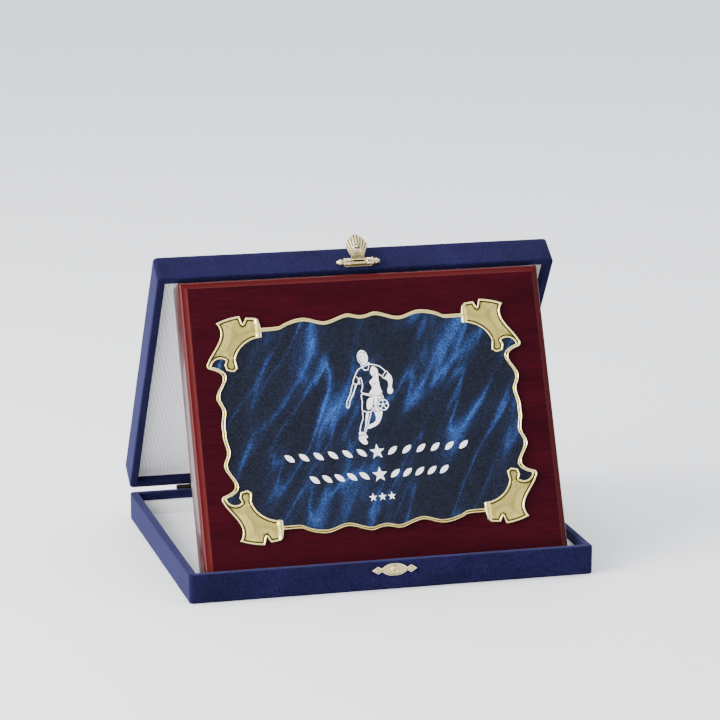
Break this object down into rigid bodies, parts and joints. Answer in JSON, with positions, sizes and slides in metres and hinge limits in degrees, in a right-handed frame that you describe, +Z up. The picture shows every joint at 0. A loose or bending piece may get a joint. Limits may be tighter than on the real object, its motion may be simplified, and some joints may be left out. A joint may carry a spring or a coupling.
{
  "type": "cased award plaque",
  "caption": "Landscape wooden award plaque with an embossed scroll frame and marbled metal plate, leaning in its open hinged velvet presentation case.",
  "frame": {"origin": "centre of the underside of the base tray", "axes": "+X to the viewer's right, +Y towards the hinges at the back, +Z up"},
  "size_m": [0.24, 0.2013, 0.1911],
  "materials": {
    "velvet_blue": "short-pile velvet",
    "lining_white": "satin lining",
    "wadding": "soft wadding",
    "rail_wood": "planed softwood",
    "backing_board": "plain board",
    "hinge_brass": "dull brass",
    "pale_brass": "bright stamped brass",
    "lacquered_wood": "high-gloss lacquer",
    "gold_frame": "embossed pale gold",
    "marble_print": "printed, satin",
    "adhesive_sheet": "foam tape",
    "white_ink": "screen-printed ink"
  },
  "bodies": {
    "base": {"base_velvet_wrap": "velvet_blue", "base_bottom_velvet": "velvet_blue", "base_front_rail": "rail_wood", "base_back_rail": "rail_wood", "base_left_rail": "rail_wood", "base_right_rail": "rail_wood", "base_panel": "backing_board", "base_padding": "wadding", "base_lining": "lining_white", "strike_plate": "pale_brass", "strike_socket": "pale_brass", "strike_nails": "pale_brass", "left_hinge_base_leaf": "hinge_brass", "right_hinge_base_leaf": "hinge_brass", "left_hinge_pin": "hinge_brass", "right_hinge_pin": "hinge_brass", "base_hinge_nails": "hinge_brass"},
    "lid": {"lid_velvet_wrap": "velvet_blue", "lid_top_velvet": "velvet_blue", "lid_front_rail": "rail_wood", "lid_back_rail": "rail_wood", "lid_left_rail": "rail_wood", "lid_right_rail": "rail_wood", "lid_panel": "backing_board", "lid_padding": "wadding", "lid_lining": "lining_white", "clasp_plate": "pale_brass", "clasp_pin": "pale_brass", "left_hinge_lid_leaf": "hinge_brass", "right_hinge_lid_leaf": "hinge_brass", "lid_hinge_nails": "hinge_brass"},
    "clasp": {"clasp_flap": "pale_brass"},
    "plaque": {"plaque_board": "lacquered_wood", "scroll_frame": "gold_frame", "marble_plate": "marble_print", "plate_adhesive": "adhesive_sheet", "print_ornaments": "white_ink"}
  },
  "joints": [
    {"name": "lid_hinge", "type": "hinge", "parent": "base", "child": "lid", "pos_m": [0, 0.0938, 0.0175], "axis": [-1, 0, 0], "range_deg": [0, 113.6]},
    {"name": "clasp_swing", "type": "hinge", "parent": "lid", "child": "clasp", "pos_m": [0, -0.00851, 0.17562], "axis": [1, 0, 0], "range_deg": [0, 152]},
    {"name": "plaque_tilt", "type": "hinge", "parent": "base", "child": "plaque", "pos_m": [0, -0.066, 0.0033], "axis": [1, 0, 0], "range_deg": [0, 23]}
  ]
}
